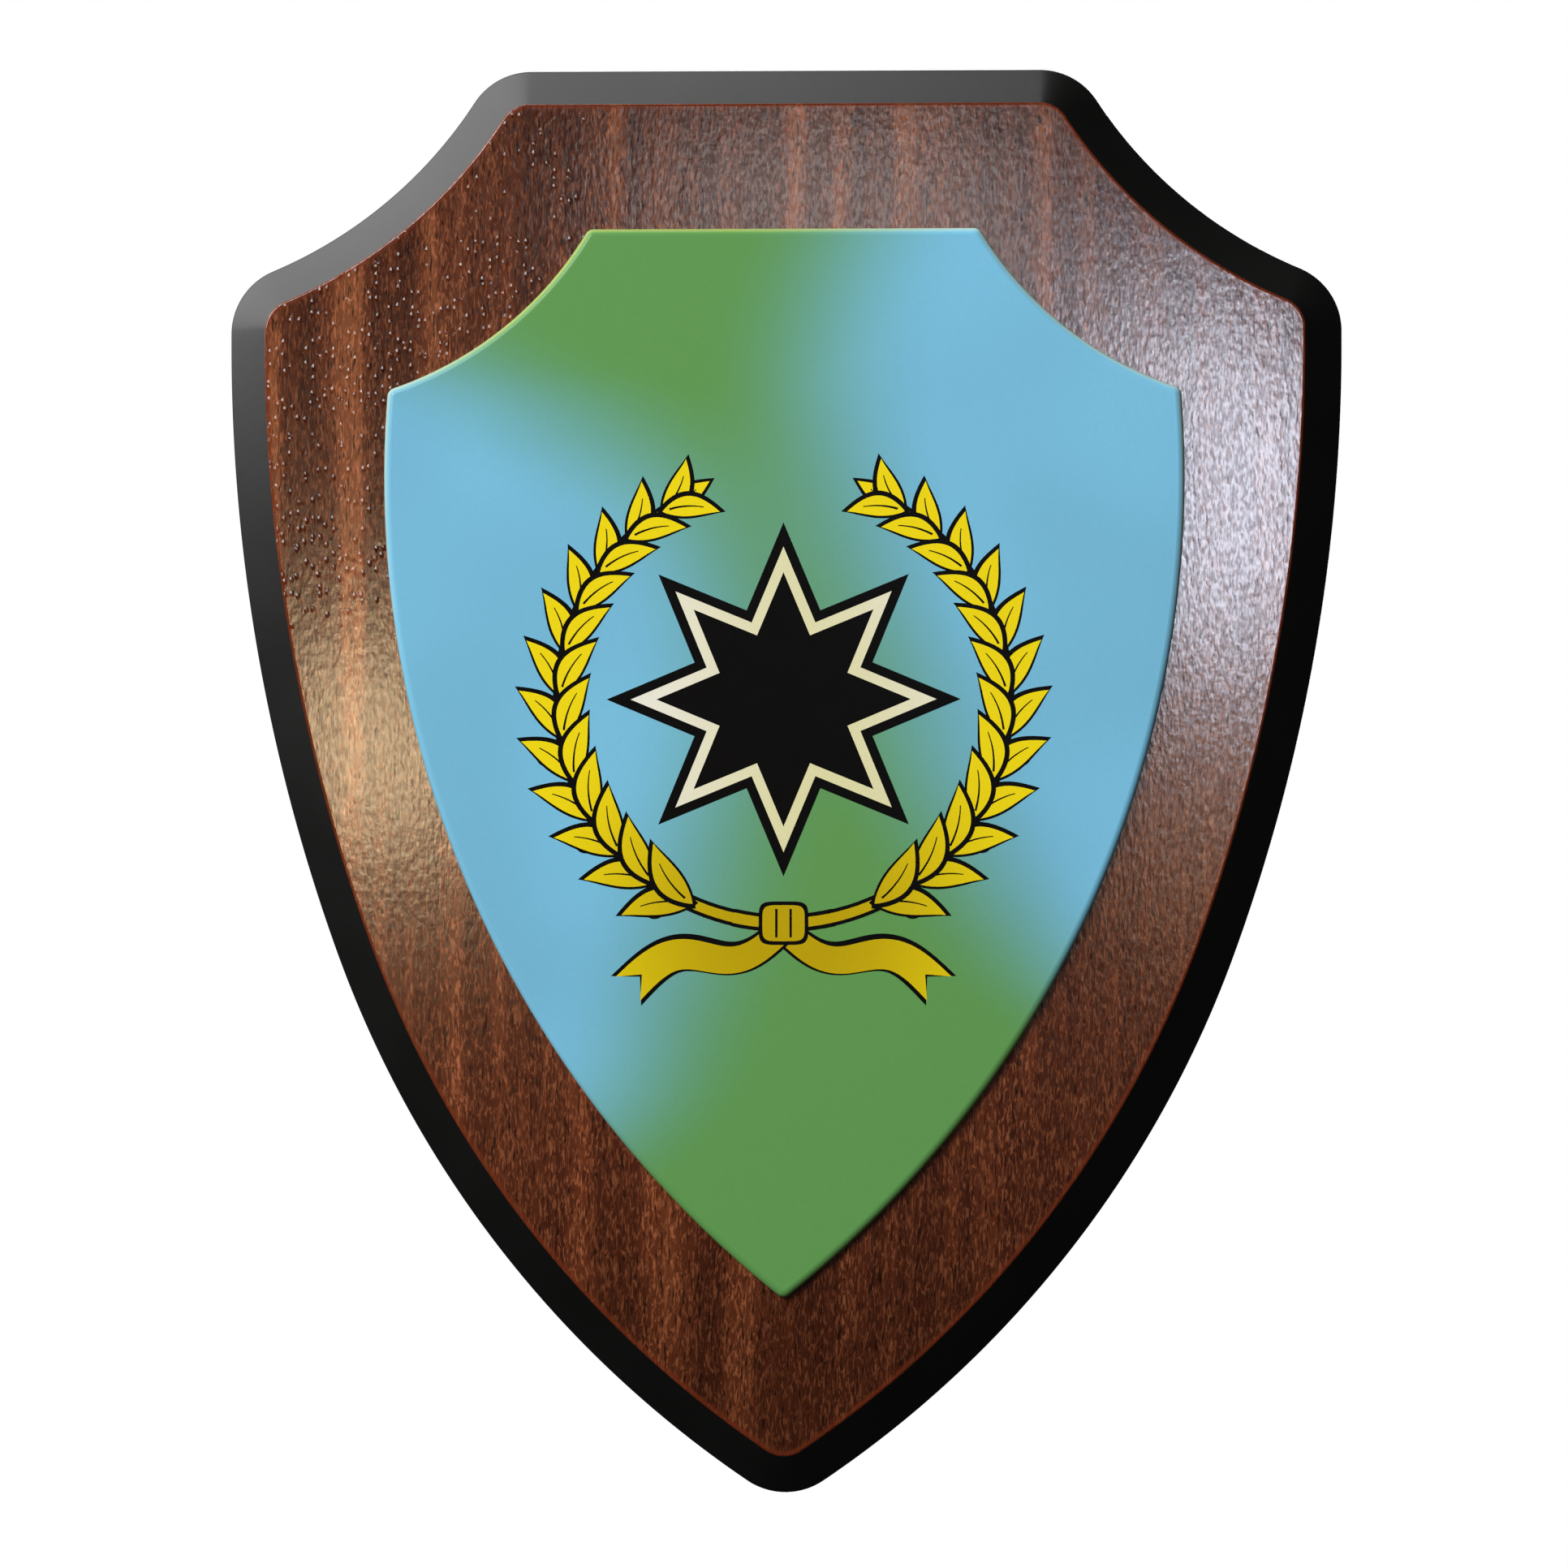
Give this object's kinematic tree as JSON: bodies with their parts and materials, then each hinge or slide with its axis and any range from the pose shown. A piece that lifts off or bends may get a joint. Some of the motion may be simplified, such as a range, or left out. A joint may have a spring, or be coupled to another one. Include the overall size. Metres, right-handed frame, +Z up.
{
  "type": "wall plaque",
  "caption": "Shield-shaped wooden wall plaque with a black bevelled edge and a printed metal shield plate, made to hang on a screw.",
  "frame": {"origin": "where the hanging screw's shank sits: the upper end of the keyhole slot's narrow part, on the centre line, in the plane of the back", "axes": "+Z up the wall, +Y into the wall out of the back, so the face looks along -Y; +X to the right of someone who looks at the face"},
  "size_m": [0.18, 0.0168, 0.23],
  "materials": {
    "varnished_mahogany": "satin",
    "printed_aluminium": "satin"
  },
  "bodies": {
    "root": {"shield_board": "varnished_mahogany", "printed_plate": "printed_aluminium"}
  },
  "joints": []
}
